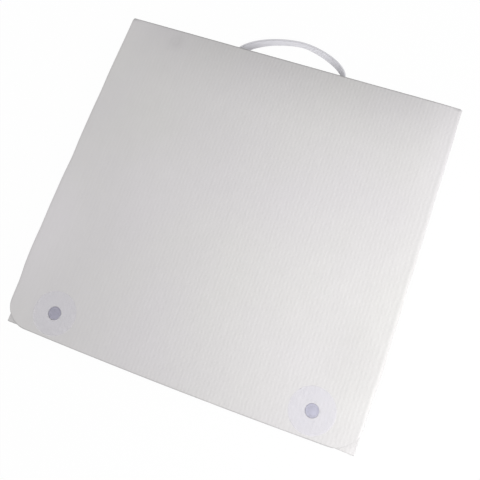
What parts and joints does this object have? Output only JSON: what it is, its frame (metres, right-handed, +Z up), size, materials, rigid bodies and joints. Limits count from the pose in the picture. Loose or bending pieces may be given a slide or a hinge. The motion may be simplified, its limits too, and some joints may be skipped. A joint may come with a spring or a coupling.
{
  "type": "folding light tent",
  "caption": "Tabletop photo light tent of white fluted board, folded flat into a pack with a strap handle and magnetic closures.",
  "frame": {"origin": "resting plane of the folded pack, under the middle of its bounding box", "axes": "+Z up; +Y towards the rear edge with the handle; +X to the right"},
  "size_m": [0.39, 0.4084, 0.0225],
  "materials": {
    "board": "white fluted polypropylene board, fine vertical ribs",
    "magnet": "grey nickel-plated magnet",
    "steel": "plain steel disc",
    "film": "thin clear film with a faint blue cast",
    "strap": "cool white flexible strap, satin",
    "plate": "white retaining plate",
    "circuit": "white circuit strip with square light chips",
    "diffuser": "milky cover",
    "inlet": "black socket",
    "hook": "white hook fastener"
  },
  "bodies": {
    "floor": {"floor_panel": "board", "floor_magnet_left": "magnet", "floor_magnet_right": "magnet", "floor_patch_left": "film", "floor_patch_right": "film"},
    "left_lower": {"left_wall_lower": "board", "left_lower_disc": "steel"},
    "left_upper": {"left_wall_upper": "board", "left_upper_disc": "steel"},
    "right_lower": {"right_wall_lower": "board", "right_lower_disc": "steel"},
    "right_upper": {"right_wall_upper": "board", "right_upper_disc": "steel"},
    "roof": {"roof_panel": "board", "roof_spine": "board", "handle_strap": "strap", "roof_magnet_left": "magnet", "roof_magnet_right": "magnet", "roof_patch_left": "film", "roof_patch_right": "film", "handle_plate_left": "plate", "handle_plate_right": "plate", "led_strip_left": "circuit", "led_strip_right": "circuit", "led_diffuser_left": "diffuser", "led_diffuser_right": "diffuser", "led_inlet_left": "inlet", "led_inlet_right": "inlet", "backdrop_pad_left": "hook", "backdrop_pad_right": "hook"},
    "back": {"back_panel": "board"},
    "left_flap": {"left_flap": "board", "left_flap_magnet_low": "magnet", "left_flap_magnet_high": "magnet", "left_flap_patch_low": "film", "left_flap_patch_high": "film"},
    "right_flap": {"right_flap": "board", "right_flap_magnet_low": "magnet", "right_flap_magnet_high": "magnet", "right_flap_patch_low": "film", "right_flap_patch_high": "film"}
  },
  "joints": [
    {"name": "left_foot_fold", "type": "hinge", "parent": "floor", "child": "left_lower", "pos_m": [-0.188, 0, 0.011], "axis": [0, -1, 0], "range_deg": [0, 90]},
    {"name": "left_knee_fold", "type": "hinge", "parent": "left_lower", "child": "left_upper", "pos_m": [-0.003, 0, 0.0148], "axis": [0, 1, 0], "range_deg": [0, 180]},
    {"name": "roof_fold", "type": "hinge", "parent": "left_upper", "child": "roof", "pos_m": [-0.188, 0, 0.0186], "axis": [0, -1, 0], "range_deg": [0, 90]},
    {"name": "right_foot_fold", "type": "hinge", "parent": "floor", "child": "right_lower", "pos_m": [0.188, 0, 0.011], "axis": [0, 1, 0], "range_deg": [0, 90]},
    {"name": "right_knee_fold", "type": "hinge", "parent": "right_lower", "child": "right_upper", "pos_m": [0.003, 0, 0.0148], "axis": [0, -1, 0], "range_deg": [0, 180]},
    {"name": "back_fold", "type": "hinge", "parent": "floor", "child": "back", "pos_m": [0, 0.16675, 0.0053], "axis": [1, 0, 0], "range_deg": [0, 270]},
    {"name": "left_flap_fold", "type": "hinge", "parent": "back", "child": "left_flap", "pos_m": [-0.1952, 0, 0.0034], "axis": [0, -1, 0], "range_deg": [0, 270]},
    {"name": "right_flap_fold", "type": "hinge", "parent": "back", "child": "right_flap", "pos_m": [0.1952, 0, 0.0034], "axis": [0, 1, 0], "range_deg": [0, 270]}
  ],
  "couplings": [
    {"joint": "left_knee_fold", "follows": "left_foot_fold", "ratio": 2},
    {"joint": "roof_fold", "follows": "left_foot_fold", "ratio": 1},
    {"joint": "right_foot_fold", "follows": "left_foot_fold", "ratio": 1},
    {"joint": "right_knee_fold", "follows": "left_foot_fold", "ratio": 2},
    {"joint": "back_fold", "follows": "left_foot_fold", "ratio": 3},
    {"joint": "left_flap_fold", "follows": "left_foot_fold", "ratio": 3},
    {"joint": "right_flap_fold", "follows": "left_foot_fold", "ratio": 3}
  ]
}
